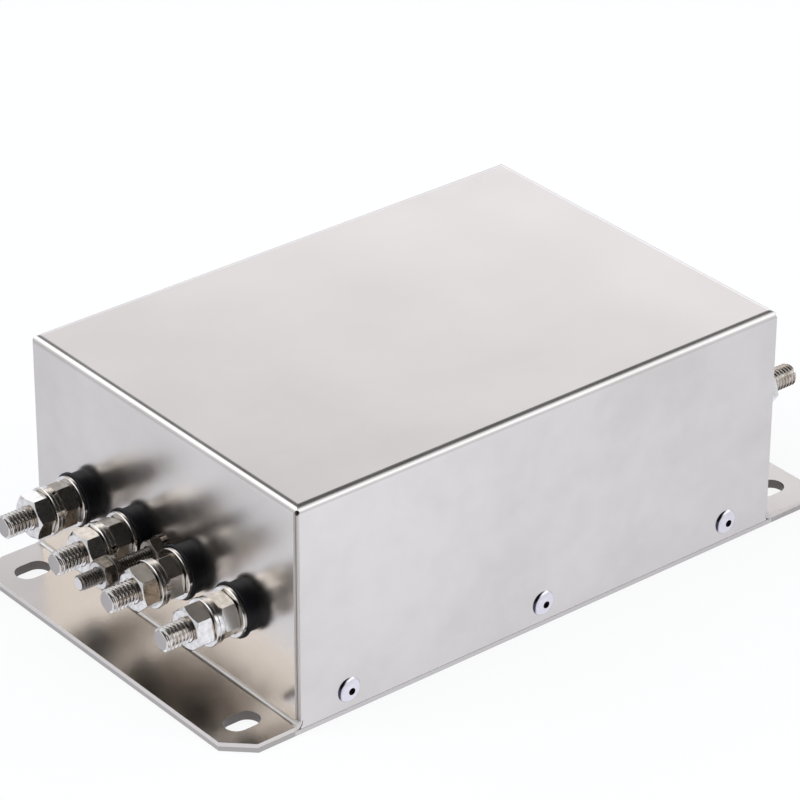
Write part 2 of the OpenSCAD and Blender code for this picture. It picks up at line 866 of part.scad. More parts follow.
// Cased ring core with the rim of its lid
module choke_core() {
  color("DarkSlateGray")
  translate([0, 0, core_z]) rotate_extrude() polygon([
    [core_hole_d / 2, 0.6], [core_hole_d / 2 + 0.6, 0], [core_d / 2 - 0.6, 0], [core_d / 2, 0.6],
    [core_d / 2, core_h - 3], [core_d / 2 - 0.1, core_h - 3], [core_d / 2 - 0.1, core_h - 0.6],
    [core_d / 2 - 0.7, core_h], [core_hole_d / 2 + 0.7, core_h], [core_hole_d / 2 + 0.1, core_h - 0.6],
    [core_hole_d / 2 + 0.1, core_h - 3], [core_hole_d / 2, core_h - 3]
  ]);
}

// Section through the flat wire where it goes round the core, standing on the board
module wire_2d() {
  w = coil_out - coil_in;
  h = coil_top - deck_z;
  translate([coil_in, deck_z]) difference() {
    rounded_2d(w, h, wire + coil_gap);
    translate([wire, wire]) rounded_2d(w - 2 * wire, h - 2 * wire, coil_gap);
  }
}

module rounded_2d(w, h, r) {
  translate([r, 0]) square([w - 2 * r, h]);
  translate([0, r]) square([w, h - 2 * r]);
  for (x = [r, w - r]) {
    for (y = [r, h - r]) translate([x, y]) circle(r);
  }
}

// Turns lie side by side in the hole of the core and fan out beyond it
module winding(i) {
  start = coil_angle[i] - turns * turn_step / 2;
  color("Chocolate")
  difference() {
    rotate([0, 0, start]) rotate_extrude(angle = turns * turn_step) wire_2d();
    for (k = [1:turns - 1]) rotate([0, 0, start + (k - fan_gap / 2) * turn_step]) {
      rotate_extrude(angle = fan_gap * turn_step) {
        translate([core_hole_d / 2 + 0.6, 0]) square([core_d, 2 * coil_top]);
      }
    }
  }
}

// Hub and four vanes that fill the gaps between the windings
module choke_divider() {
  reach = core_hole_d / 2 - 0.3;
  color("Beige")
  translate([0, 0, deck_z]) difference() {
    union() {
      cylinder(h = coil_top - deck_z, d = hub_d);
      for (a = [0, 90, 180, 270]) rotate([0, 0, a]) {
        translate([0, -vane_t / 2, 0]) cube([reach, vane_t, coil_top - deck_z]);
      }
    }
    translate([0, 0, wire]) cylinder(h = coil_top, d = hub_hole_d);
  }
}

// Moulded box with upright edges rounded, standing on the board
module box_part(l, t, h, r) {
  translate([-l / 2, -t / 2, 0]) linear_extrude(h) rounded_2d(l, t, r);
}

module x_caps(s) {
  for (y = screw_y) translate([s * part_x, y, deck_z]) box_part(xcap_l, xcap_t, xcap_h, 1);
}

module line_x_capacitors() {
  color("Gold") x_caps(-1);
}

module load_x_capacitors() {
  color("Gold") x_caps(1);
}

module y_capacitors() {
  color("SteelBlue") {
    for (s = [-1, 1]) {
      translate([part_x - 3, s * pitch, deck_z]) box_part(ycap_l, ycap_t, ycap_h, 0.6);
      translate([part_x - 4 + s * (ycap_l / 2 + 0.6), 0, deck_z]) box_part(ycap_l, ycap_t, ycap_h, 0.6);
    }
  }
}

// Axial resistor lying on the board, its two legs bent down onto it
module resistor() {
  leg = 0.8;
  foot_x = res_l / 2 + 2;
  translate([-res_l / 2, 0, res_d / 2]) rotate([0, 90, 0]) cylinder(h = res_l, d = res_d);
  translate([-foot_x, 0, res_d / 2]) rotate([0, 90, 0]) cylinder(h = 2 * foot_x, d = leg);
  for (s = [-1, 1]) translate([s * foot_x, 0, 0]) cylinder(h = (res_d + leg) / 2, d = leg);
}

module bleeder_resistors() {
  color("Tan") for (y = [-pitch, 0, pitch]) translate([-part_x + 3, y, deck_z]) resistor();
}

cover();
base_plate();
front_rail();
rear_rail();
side_rivets();
rivet_mandrels();
line_bush(0);  // line_bush_1
line_bush(1);  // line_bush_2
line_bush(2);  // line_bush_3
line_bush(3);  // line_bush_4
load_bush(0);  // load_bush_1
load_bush(1);  // load_bush_2
load_bush(2);  // load_bush_3
load_bush(3);  // load_bush_4
line_inner_bushes();
load_inner_bushes();
line_screw(0);  // line_screw_1
line_screw(1);  // line_screw_2
line_screw(2);  // line_screw_3
line_screw(3);  // line_screw_4
load_screw(0);  // load_screw_1
load_screw(1);  // load_screw_2
load_screw(2);  // load_screw_3
load_screw(3);  // load_screw_4
line_seat_washers();
load_seat_washers();
line_clamp_nuts();
load_clamp_nuts();
line_spring_washers();
load_spring_washers();
line_flat_washers();
load_flat_washers();
line_outer_nuts();
load_outer_nuts();
line_earth_screw();
load_earth_screw();
earth_lock_washers();
earth_clamp_nuts();
earth_spring_washers();
earth_flat_washers();
earth_outer_nuts();
line_lugs();
load_lugs();
earth_lugs();
line_leads();
load_leads();
earth_leads();
board();
board_standoffs();
board_screws();
choke_core();
winding(0);  // winding_1
winding(1);  // winding_2
winding(2);  // winding_3
winding(3);  // winding_4
choke_divider();
line_x_capacitors();
load_x_capacitors();
y_capacitors();
bleeder_resistors();
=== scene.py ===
# %% [markdown]
# # A mains filter in a folded, nickel-plated steel case
#
# The real part is a sheet-metal box, screwed flat on a panel, with four
# insulated screws and an earth screw at each end. The solids come in finished,
# at their real size, so this lesson is about what the eye adds to them: the
# threads, the metals and the studio that the metals mirror.

import math

import bmesh
import bpy
from mathutils import Matrix, Vector


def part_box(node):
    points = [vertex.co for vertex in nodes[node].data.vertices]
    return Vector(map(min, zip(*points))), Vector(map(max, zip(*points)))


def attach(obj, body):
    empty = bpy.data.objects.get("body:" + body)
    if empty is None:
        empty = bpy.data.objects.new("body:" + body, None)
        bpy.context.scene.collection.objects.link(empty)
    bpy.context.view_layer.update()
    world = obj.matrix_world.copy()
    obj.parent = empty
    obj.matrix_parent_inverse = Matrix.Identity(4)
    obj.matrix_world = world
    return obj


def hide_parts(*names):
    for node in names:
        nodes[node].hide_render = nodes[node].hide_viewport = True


MM = 0.001


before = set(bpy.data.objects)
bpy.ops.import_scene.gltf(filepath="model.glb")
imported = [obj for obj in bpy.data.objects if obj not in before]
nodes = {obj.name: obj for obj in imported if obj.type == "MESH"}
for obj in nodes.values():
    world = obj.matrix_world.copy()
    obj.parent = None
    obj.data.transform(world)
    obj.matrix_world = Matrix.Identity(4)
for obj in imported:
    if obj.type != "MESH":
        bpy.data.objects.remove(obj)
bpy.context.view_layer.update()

# %% [markdown]
# ## Three small helpers
#
# Colours are easier to pick as the hex codes of a paint chart, but the renderer
# mixes light in linear values, so the first function turns one into the other
# by the sRGB standard. The second adds a shader node, with its settings and
# what is plugged into it, so that a whole material reads as a short list: _0
# and _1 are a node's first and second inputs, and the others go by their
# names. The third starts an empty finish.

# %% Turn a hex colour to linear, add a shader node, start a finish
def to_linear(hex_code):
    linear = []
    for first in (1, 3, 5):
        part = int(hex_code[first:first + 2], 16) / 255
        linear.append(part / 12.92 if part <= 0.04045 else ((part + 0.055) / 1.055) ** 2.4)
    return (*linear, 1.0)


def add_node(tree, kind, settings=None, **inputs):
    node = tree.nodes.new(kind)
    for name, value in (settings or {}).items():
        setattr(node, name, value)
    for name, value in inputs.items():
        key = int(name[1:]) if name[1:].isdigit() else name.replace("_", " ")
        socket = node.inputs[key]
        if isinstance(value, bpy.types.NodeSocket):
            tree.links.new(value, socket)
        else:
            socket.default_value = value
    return node


def new_finish(name):
    finish = bpy.data.materials.new(name)
    finish.use_nodes = True
    finish.node_tree.nodes.clear()
    return finish, finish.node_tree


print("mid grey #808080 is linear", round(to_linear("#808080")[0], 3))

# %% [markdown]
# ## The camera
#
# The photograph was taken with a long lens from above the near corner. Its
# place was worked out from the corners of the case: how far it is turned round
# the box, how high it looks down, a slight roll, and the distance. ASIDE and
# ABOVE slide it across its own picture, so that the box sits off the middle as
# in the photograph. The focal length is in pixels of the picture.

# %% Place the camera
TURN = math.radians(-39.2559)
TILT = math.radians(29.8068)
ROLL = math.radians(0.2228)
DISTANCE = 1065.257 * MM
ASIDE = 1.467 * MM
ABOVE = -34.234 * MM
FOCAL_LENGTH = 4248.43
PICTURE_WIDTH = 800
SENSOR_WIDTH = 36
NEAREST = 0.05
FURTHEST = 20
VERTICAL = Vector((0, 0, 1))

back = Vector((math.sin(TURN) * math.cos(TILT), -math.cos(TURN) * math.cos(TILT), math.sin(TILT)))
level = VERTICAL.cross(back).normalized()
upward = back.cross(level)
right = level * math.cos(ROLL) + upward * math.sin(ROLL)
up = upward * math.cos(ROLL) - level * math.sin(ROLL)

camera = bpy.data.objects.new("camera", bpy.data.cameras.new("camera"))
camera.data.sensor_width = SENSOR_WIDTH
camera.data.lens = FOCAL_LENGTH / PICTURE_WIDTH * SENSOR_WIDTH
camera.data.clip_start = NEAREST
camera.data.clip_end = FURTHEST
stand = Matrix.Translation(back * DISTANCE - right * ASIDE - up * ABOVE)
camera.matrix_world = stand @ Matrix((right, up, back)).transposed().to_4x4()
bpy.context.collection.objects.link(camera)
bpy.context.scene.camera = camera
bpy.context.scene.view_settings.view_transform = "Standard"
print("camera at", [round(v, 3) for v in camera.location], "lens", round(camera.data.lens, 1))

# %% [markdown]
# ## The studio that the metal mirrors
#
# A plated box has hardly any colour of its own: its faces show the room. The
# photograph has a bright backdrop low behind the box, a tall soft box on each
# side, and darkness overhead and round the camera: that is the black line
# along the folds, and the black facet of each nut, which looks back at the
# camera by way of the wall. Cards could be hung for each, but a world that is
# bright and dark in the same directions gives the same mirror image without
# noise.
#
# The world knows the direction that it is seen in. Three dot products say how
# high that direction points, how far to the side of the camera's view, and how
# far beyond the box.

# %% Measure directions in the world
world = bpy.data.worlds.new("studio")
bpy.context.scene.world = world
world.use_nodes = True
sky = world.node_tree
sky.nodes.clear()

facing = add_node(sky, "ShaderNodeTexCoord").outputs["Generated"]
height, sideways, outward = [
    add_node(sky, "ShaderNodeVectorMath", {"operation": "DOT_PRODUCT"}, _0=facing,
             _1=tuple(axis)).outputs["Value"]
    for axis in (VERTICAL, level, VERTICAL.cross(level))]
print("directions measured along", [round(v, 3) for v in level], "and upright to it")

# %% [markdown]
# ## How bright the studio is at each height
#
# Three parts of the room differ: what lies behind the camera, the backdrop, and
# the two soft boxes. Each is a colour ramp over height. In the lists, height
# goes from -1, straight down, to 1, overhead. The backdrop ends just above
# 0.5, where the top of the case mirrors it, and the boxes reach up to 0.8.

# %% Make a brightness ramp for each part of the room
BEHIND_CAMERA = [(-1, 0.3), (-0.1, 0.2), (0.05, 0.09), (0.2, 0.015), (1, 0.003)]
BACKDROP = [(-1, 0.6), (0.1, 0.75), (0.40, 1.0), (0.446, 0.86), (0.48, 0.75), (0.52, 0.62),
            (0.60, 0.30), (0.70, 0.09), (1, 0.03)]
SOFT_BOXES = [(-1, 0.6), (-0.2, 0.58), (0, 0.57), (0.17, 0.58), (0.31, 0.70), (0.45, 1.08),
              (0.62, 1.05), (0.72, 0.85), (0.79, 0.45), (0.84, 0.08), (1, 0.03)]


def brightness_by_height(stops):
    lifted = add_node(sky, "ShaderNodeMapRange", Value=height, From_Min=-1.0, From_Max=1.0).outputs[0]
    ramp = add_node(sky, "ShaderNodeValToRGB", Fac=lifted)
    elements = ramp.color_ramp.elements
    while len(elements) < len(stops):
        elements.new(0.5)
    for element, (z, shade) in zip(elements, stops):
        element.position = (z + 1) / 2
        element.color = (shade, shade, shade, 1)
    return ramp.outputs[0]


behind_camera = brightness_by_height(BEHIND_CAMERA)
backdrop = brightness_by_height(BACKDROP)
boxes = brightness_by_height(SOFT_BOXES)
print("ramps with", len(BEHIND_CAMERA), len(BACKDROP), len(SOFT_BOXES), "stops")

# %% [markdown]
# ## Where each part of the room begins
#
# Smooth steps blend one part into the next, as the edges of real soft boxes do
# on a satin metal. The backdrop is a little brighter at the right and a touch
# warm. The left soft box is dimmer than the right one low down, and stronger
# higher up. The lamps are cool, and the warm nickel brings them back to grey.
# The camera itself sees plain white.

# %% Put the room together
SMOOTH = {"interpolation_type": "SMOOTHSTEP"}
TINT = {"blend_type": "MULTIPLY"}
BACKDROP_WARMTH = (1.05, 1.01, 1.005, 1)
LAMP_COLOUR = to_linear("#E7F1FF")
STUDIO_STRENGTH = 2.09

aside = add_node(sky, "ShaderNodeMath", {"operation": "ABSOLUTE"}, _0=sideways).outputs[0]
in_box = add_node(sky, "ShaderNodeMapRange", SMOOTH, Value=aside, From_Min=0.44,
                  From_Max=0.72).outputs[0]
beyond = add_node(sky, "ShaderNodeMapRange", SMOOTH, Value=outward, From_Min=-0.4,
                  From_Max=0.1).outputs[0]

tilted = add_node(sky, "ShaderNodeMapRange", Value=sideways, From_Min=-0.15, From_Max=0.15,
                  To_Min=0.92, To_Max=1.06).outputs[0]
for gain in (tilted, BACKDROP_WARMTH):
    backdrop = add_node(sky, "ShaderNodeMixRGB", TINT, Fac=1.0, Color1=backdrop,
                        Color2=gain).outputs[0]
middle = add_node(sky, "ShaderNodeMixRGB", Fac=beyond, Color1=behind_camera, Color2=backdrop).outputs[0]

left_by_height = add_node(sky, "ShaderNodeMapRange", SMOOTH, Value=height, From_Min=0.47, From_Max=0.61,
                          To_Min=0.84, To_Max=1.5).outputs[0]
leftward = add_node(sky, "ShaderNodeMath", {"operation": "LESS_THAN"}, _0=sideways, _1=0.0).outputs[0]
box_gain = add_node(sky, "ShaderNodeMix", {"data_type": "FLOAT"}, _0=leftward, _2=1.0,
                    _3=left_by_height).outputs[0]
boxes = add_node(sky, "ShaderNodeVectorMath", {"operation": "SCALE"}, _0=boxes,
                 Scale=box_gain).outputs[0]

room = add_node(sky, "ShaderNodeMixRGB", Fac=in_box, Color1=middle, Color2=boxes).outputs[0]
cooled = add_node(sky, "ShaderNodeMixRGB", TINT, Fac=1.0, Color1=room, Color2=LAMP_COLOUR).outputs[0]
studio = add_node(sky, "ShaderNodeBackground", Color=cooled, Strength=STUDIO_STRENGTH).outputs[0]
white = add_node(sky, "ShaderNodeBackground", Color=(1, 1, 1, 1), Strength=1.0).outputs[0]
to_camera = add_node(sky, "ShaderNodeLightPath").outputs["Is Camera Ray"]
seen = add_node(sky, "ShaderNodeMixShader", _0=to_camera, _1=studio, _2=white).outputs[0]
add_node(sky, "ShaderNodeOutputWorld", Surface=seen)
print("studio world built with", len(sky.nodes), "nodes")

# %% [markdown]
# ## A lamp for what isn't metal
#
# The dark overhead would leave paint and plastic too dim, so a wide soft lamp
# hangs over the table. It is kept out of the mirror image, as a photographer
# does by hanging it outside the angle in which the metal would show it.

# %% Hang the lamp
LAMP_PLACE = Vector((-0.35, -0.35, 1.5))
LAMP_SIDE = 1.6
LAMP_POWER = 17

lamp = bpy.data.objects.new("overhead_lamp", bpy.data.lights.new("overhead_lamp", "AREA"))
lamp.data.shape = "SQUARE"
lamp.data.size = LAMP_SIDE
lamp.data.energy = LAMP_POWER
lamp.location = LAMP_PLACE
lamp.rotation_euler = (-LAMP_PLACE).to_track_quat("-Z", "Y").to_euler()
lamp.visible_glossy = False
bpy.context.collection.objects.link(lamp)
print("lamp:", round(lamp.data.size, 2), "m square,", round(lamp.data.energy, 1), "W")

# %% [markdown]
# ## The white table
#
# The box stands on a pale table that the picture shows as plain white. It is
# one large square, a hair below the base plate so that the two faces don't
# lie in one plane, and it is stage, not a piece of the part.

# %% Make the table
TABLE_HALF = 6.0
TABLE_DROP = 0.05 * MM

table_mesh = bpy.data.meshes.new("table")
corners = [(-TABLE_HALF, -TABLE_HALF, 0), (TABLE_HALF, -TABLE_HALF, 0),
           (TABLE_HALF, TABLE_HALF, 0), (-TABLE_HALF, TABLE_HALF, 0)]
table_mesh.from_pydata(corners, [], [(0, 1, 2, 3)])
table = bpy.data.objects.new("table", table_mesh)
table.location.z = -TABLE_DROP
bpy.context.collection.objects.link(table)
print("table", 2 * TABLE_HALF, "m wide")

# %% [markdown]
# ## What the table shows
#
# The table is matt white paper. It glows a little to the camera, so it reads
# white and still keeps the soft shadow. The metal sees another glow: a bright
# sheet close to the box that dims further away, toward the left and toward the
# back. From above, the walls of the case mirror mostly this sheet, so it sets
# their tone.

# %% Finish the table
WHITE_SHARE = 0.86
SHEEN_SHARE = 0.80
SHEEN_COLOUR = to_linear("#E3ECFF")
PAPER_COLOUR = to_linear("#F4F4F4")
TO_BACK = (0.775, 0.632, 0)

paper, tree = new_finish("white_table_paper")
paper.cycles.emission_sampling = "NONE"
spot = add_node(tree, "ShaderNodeTexCoord").outputs["Object"]
away = add_node(tree, "ShaderNodeVectorMath", {"operation": "LENGTH"}, _0=spot).outputs["Value"]
rightward, backward = [
    add_node(tree, "ShaderNodeVectorMath", {"operation": "DOT_PRODUCT"}, _0=spot,
             _1=tuple(axis)).outputs["Value"]
    for axis in (level, TO_BACK)]
near = add_node(tree, "ShaderNodeMapRange", SMOOTH, Value=away, From_Min=0.20, From_Max=0.45,
                To_Min=1.62, To_Max=1.175).outputs[0]
from_left = add_node(tree, "ShaderNodeMapRange", Value=rightward, From_Min=-0.11, From_Max=0.08,
                     To_Min=0.84, To_Max=1.0).outputs[0]
from_front = add_node(tree, "ShaderNodeMapRange", Value=backward, From_Min=-0.085, From_Max=0.02,
                      To_Min=1.0, To_Max=0.83).outputs[0]
glow = near
for dimmed in (from_left, from_front):
    glow = add_node(tree, "ShaderNodeMath", {"operation": "MULTIPLY"}, _0=glow, _1=dimmed).outputs[0]

path = add_node(tree, "ShaderNodeLightPath").outputs
white = add_node(tree, "ShaderNodeEmission", Color=(1, 1, 1, 1), Strength=1.0).outputs[0]
sheen = add_node(tree, "ShaderNodeEmission", Color=SHEEN_COLOUR, Strength=glow).outputs[0]
surface = add_node(tree, "ShaderNodeBsdfDiffuse", Color=PAPER_COLOUR).outputs[0]
for ray, share, light in (("Is Glossy Ray", SHEEN_SHARE, sheen),
                          ("Is Camera Ray", WHITE_SHARE, white)):
    amount = add_node(tree, "ShaderNodeMath", {"operation": "MULTIPLY"}, _0=path[ray],
                      _1=share).outputs[0]
    surface = add_node(tree, "ShaderNodeMixShader", _0=amount, _1=surface, _2=light).outputs[0]
add_node(tree, "ShaderNodeOutputMaterial", Surface=surface)
table_mesh.materials.append(paper)
print(paper.name, "has", len(tree.nodes), "nodes")

# %% [markdown]
# ## Finishing a solid
#
# Each solid came in with a plain colour. Giving it a finish is putting the
# material in its slot, so one short function does that for a list of nodes.

# %% Give nodes a finish
ENDS = ("line", "load")


def finish_nodes(finish, names):
    for name in names:
        mesh = nodes[name].data
        mesh.materials.clear()
        mesh.materials.append(finish)
    print(finish.name, "on", len(names), "nodes")


# %% [markdown]
# ## Nickel-plated steel sheet
#
# The case is cold-rolled steel sheet, folded and then plated with nickel.
# Nickel is a warm grey metal, so two mirror bounces, as above the flanges, look
# beige. The thickness of the plate varies a little over 9 and 34 mm, which the
# eye sees as faint clouds. The plate also copies the grain of the rolled sheet,
# which spreads the mirror image. Real grain lines are finer than the 0.35 mm
# here, which is about the finest that shows. The bevel node softens the edges
# by a tenth of a millimetre, as the plating does.

# %% Make the tone and the grain of the plate
CLOUD = 9 * MM
DRIFT = 34 * MM
GRAIN_LENGTH = 3.0 * MM
GRAIN_WIDTH = 0.35 * MM
GRAIN_DEPTH = 0.01 * MM
SHEET_ROUNDING = 0.12 * MM

plate, tree = new_finish("nickel_plated_rolled_sheet")
place = add_node(tree, "ShaderNodeTexCoord").outputs["Object"]
clouds = add_node(tree, "ShaderNodeTexNoise", Vector=place, Scale=1 / CLOUD, Detail=3.0,
                  Roughness=0.55).outputs["Fac"]
drift = add_node(tree, "ShaderNodeTexNoise", Vector=place, Scale=1 / DRIFT, Detail=1.0).outputs["Fac"]
patches = add_node(tree, "ShaderNodeMath", {"operation": "ADD"}, _0=clouds, _1=drift).outputs[0]
patches = add_node(tree, "ShaderNodeMapRange", Value=patches, From_Min=0.75, From_Max=1.25).outputs[0]
sheet_shade = add_node(tree, "ShaderNodeMixRGB", Fac=patches, Color1=to_linear("#C8BEB3"),
                       Color2=to_linear("#CFC5BA")).outputs[0]
sheet_haze = add_node(tree, "ShaderNodeMapRange", Value=clouds, From_Min=0.3, From_Max=0.7,
                      To_Min=0.20, To_Max=0.25).outputs[0]

grain_place = add_node(tree, "ShaderNodeMapping", Vector=place,
                       Scale=(1 / GRAIN_LENGTH, 1 / GRAIN_WIDTH, 1 / GRAIN_WIDTH)).outputs[0]
grain = add_node(tree, "ShaderNodeTexNoise", Vector=grain_place, Scale=1.0, Detail=2.0).outputs["Fac"]
rounded = add_node(tree, "ShaderNodeBevel", {"samples": 4}, Radius=SHEET_ROUNDING).outputs[0]
rolled = add_node(tree, "ShaderNodeBump", Strength=0.05, Distance=GRAIN_DEPTH, Height=grain,
                  Normal=rounded).outputs[0]
print(plate.name, "has", len(tree.nodes), "nodes so far")

# %% [markdown]
# ## The cut edges of the sheet
#
# A shear leaves a rougher, duller edge than the rolled face, so the edges get
# tones of their own, and some of these tones are painted light: painted shade
# on the inner walls of the slots and on the lower layer of the flange, and a
# painted highlight on the lip above it. The solid has one material for all its
# faces, but each edge lies in a known place, so a mask is a product of
# comparisons: how far along the case, how far to the side, how high, and how
# much the face leans. The mask takes distances from the middle, which covers
# both ends and both sides at once.

# %% Mask the cut edges
PLATE_TOP = 1.22 * MM
WALL_FOOT = 76.02 * MM
SEAM_FROM = 74.25 * MM
SEAM_SIDE = 51.15 * MM
SEAM_TOP = 60 * MM
SLOT_REACH = 89.2 * MM
SLOT_SIDE = 49 * MM
BEND_FROM = 74.9 * MM
BEND_TOP = 4.5 * MM
UPRIGHT = 0.3
BARELY_LEANING = 0.06
NEARLY_FLAT = 0.97


def region_mask(tree, *bounds):
    mask = 1.0
    for value, comparison, limit in bounds:
        holds = add_node(tree, "ShaderNodeMath", {"operation": comparison}, _0=value,
                         _1=limit).outputs[0]
        mask = add_node(tree, "ShaderNodeMath", {"operation": "MULTIPLY"}, _0=mask,
                        _1=holds).outputs[0]
    return mask


from_middle = add_node(tree, "ShaderNodeVectorMath", {"operation": "ABSOLUTE"}, _0=place).outputs[0]
along, over, high = add_node(tree, "ShaderNodeSeparateXYZ", Vector=from_middle).outputs
normal = add_node(tree, "ShaderNodeNewGeometry").outputs["True Normal"]
normal = add_node(tree, "ShaderNodeVectorMath", {"operation": "ABSOLUTE"}, _0=normal).outputs[0]
lean = add_node(tree, "ShaderNodeSeparateXYZ", Vector=normal).outputs["Z"]

past_wall = (along, "GREATER_THAN", WALL_FOOT)
on_flange = region_mask(tree, past_wall)
flange_lip = region_mask(tree, past_wall, (high, "GREATER_THAN", PLATE_TOP))
in_slot = region_mask(tree, past_wall, (along, "LESS_THAN", SLOT_REACH), (over, "LESS_THAN", SLOT_SIDE))
plate_edge = region_mask(tree, (lean, "LESS_THAN", UPRIGHT), (high, "LESS_THAN", PLATE_TOP))
flange_edge = region_mask(tree, (lean, "LESS_THAN", UPRIGHT), past_wall)
corner_seam = region_mask(tree, (along, "GREATER_THAN", SEAM_FROM), (along, "LESS_THAN", WALL_FOOT),
                          (over, "GREATER_THAN", SEAM_SIDE), (high, "LESS_THAN", SEAM_TOP))
foot_bend = region_mask(tree, (along, "GREATER_THAN", BEND_FROM), (high, "LESS_THAN", BEND_TOP),
                        (lean, "GREATER_THAN", BARELY_LEANING), (lean, "LESS_THAN", NEARLY_FLAT))
print("masks add up to", len(tree.nodes), "nodes")

# %% [markdown]
# ## Put the plate together
#
# The cut edges take their tones in turn, from the edge of the base plate to the
# painted shade on the inner walls of the slots and the pale seams at the
# corners; the lower layer of the flange is painted darker as shade, and its lip
# lighter as a painted highlight. The bend at the foot of the end wall is
# stretched by the folding tool, so it is as rough as a cut edge. The two edges
# of a seam scatter most of their light, so a seam is less of a mirror than the
# rest.

# %% Finish the cover and the base plate
CUT_ROUGHNESS = 0.42
SEAM_METALLIC = 0.3

# Painted shade and highlight: the slot walls and the lower flange layer are painted dark, the flange lip
# light.
cut_tone_and_painted_shade = to_linear("#C2B9AF")
for mask, hex_code in ((on_flange, "#A8A096"), (flange_lip, "#D0C5B9"), (in_slot, "#6A625A"),
                       (corner_seam, "#CCC4BC")):
    cut_tone_and_painted_shade = add_node(tree, "ShaderNodeMixRGB", Fac=mask, Color1=cut_tone_and_painted_shade,
                         Color2=to_linear(hex_code)).outputs[0]
cut = plate_edge
for mask in (flange_edge, corner_seam):
    cut = add_node(tree, "ShaderNodeMath", {"operation": "MAXIMUM"}, _0=cut, _1=mask).outputs[0]
rough = add_node(tree, "ShaderNodeMath", {"operation": "MAXIMUM"}, _0=cut, _1=foot_bend).outputs[0]

shade = add_node(tree, "ShaderNodeMixRGB", Fac=cut, Color1=sheet_shade, Color2=cut_tone_and_painted_shade).outputs[0]
haze = add_node(tree, "ShaderNodeMapRange", Value=rough, To_Min=sheet_haze,
                To_Max=CUT_ROUGHNESS).outputs[0]
metallic = add_node(tree, "ShaderNodeMapRange", Value=corner_seam, To_Min=1.0,
                    To_Max=SEAM_METALLIC).outputs[0]
skin = add_node(tree, "ShaderNodeBsdfPrincipled", Base_Color=shade, Metallic=metallic, Roughness=haze,
                Normal=rolled)
add_node(tree, "ShaderNodeOutputMaterial", Surface=skin.outputs[0])
finish_nodes(plate, ["cover", "base_plate"])

# %% [markdown]
# ## Zinc-plated rails
#
# The two angle rails inside the case never show. They are plain zinc-plated
# strip: cooler and duller than nickel, with zinc crystals about 4 mm wide.

# %% Plate the rails
ZINC_CRYSTAL = 4 * MM

zinc, tree = new_finish("zinc_plated_strip")
place = add_node(tree, "ShaderNodeTexCoord").outputs["Object"]
spangle = add_node(tree, "ShaderNodeTexVoronoi", Vector=place, Scale=1 / ZINC_CRYSTAL).outputs["Color"]
tone = add_node(tree, "ShaderNodeMixRGB", {"blend_type": "SOFT_LIGHT"}, Fac=0.15,
                Color1=to_linear("#C2C7CC"), Color2=spangle).outputs[0]
skin = add_node(tree, "ShaderNodeBsdfPrincipled", Base_Color=tone, Metallic=1.0, Roughness=0.42)
add_node(tree, "ShaderNodeOutputMaterial", Surface=skin.outputs[0])
finish_nodes(zinc, ["front_rail", "rear_rail"])

# %% [markdown]
# ## Black moulded bushes
#
# The bushes that keep the screws clear of the case are moulded in black
# glass-filled nylon. The mould gives a satin skin with a spark-eroded texture,
# so lights show on it as broad soft streaks. The real texture is finer, and
# 0.25 mm, one pixel of the picture, is the finest that shows.

# %% Mould the bushes
SPARK = 0.25 * MM
SPARK_DEPTH = 0.02 * MM
MOULD_ROUNDING = 0.2 * MM

nylon, tree = new_finish("black_moulded_nylon")
place = add_node(tree, "ShaderNodeTexCoord").outputs["Object"]
spark = add_node(tree, "ShaderNodeTexNoise", Vector=place, Scale=1 / SPARK, Detail=2.0).outputs["Fac"]
rounded = add_node(tree, "ShaderNodeBevel", {"samples": 4}, Radius=MOULD_ROUNDING).outputs[0]
pitted = add_node(tree, "ShaderNodeBump", Strength=0.12, Distance=SPARK_DEPTH, Height=spark,
                  Normal=rounded).outputs[0]
tone = add_node(tree, "ShaderNodeMixRGB", Fac=spark, Color1=to_linear("#08080A"),
                Color2=to_linear("#0E0E11")).outputs[0]
skin = add_node(tree, "ShaderNodeBsdfPrincipled", Base_Color=tone, Roughness=0.42, IOR=1.53,
                Specular_IOR_Level=0.2, Normal=pitted)
add_node(tree, "ShaderNodeOutputMaterial", Surface=skin.outputs[0])
outer_bushes = [f"{end}_bush_{i}" for end in ENDS for i in (1, 2, 3, 4)]
finish_nodes(nylon, outer_bushes + [f"{end}_inner_bushes" for end in ENDS])

# %% [markdown]
# ## Nickel-plated screws, nuts and washers
#
# The hardware is turned and cold-formed steel, plated in a drum. The plate is
# warmer and darker in patches about 2 mm wide, where the pieces lay against
# each other. Tool marks are finer than the 0.3 mm bumps that stand for them.
# Three finishes share one function: bright nuts and washers, rolled threads
# that hold more dirt, and the earth hardware, which is rougher and carries a
# painted shade: it is coloured dark for the shade it stands in behind the
# terminal stacks. The sawn end of a screw faces along X and is rougher than the
# rest, so a mask on the direction of the face gives it its own tone. On the
# earth hardware this also brightens the flat faces of the nuts and washers.

# %% Plate the hardware
STAIN = 1.8 * MM
TOOL_MARK = 0.3 * MM
TOOL_MARK_DEPTH = 0.02 * MM
HARDWARE_ROUNDING = 0.18 * MM
FACES_END = 0.95
SAWN_ROUGHNESS = 0.34


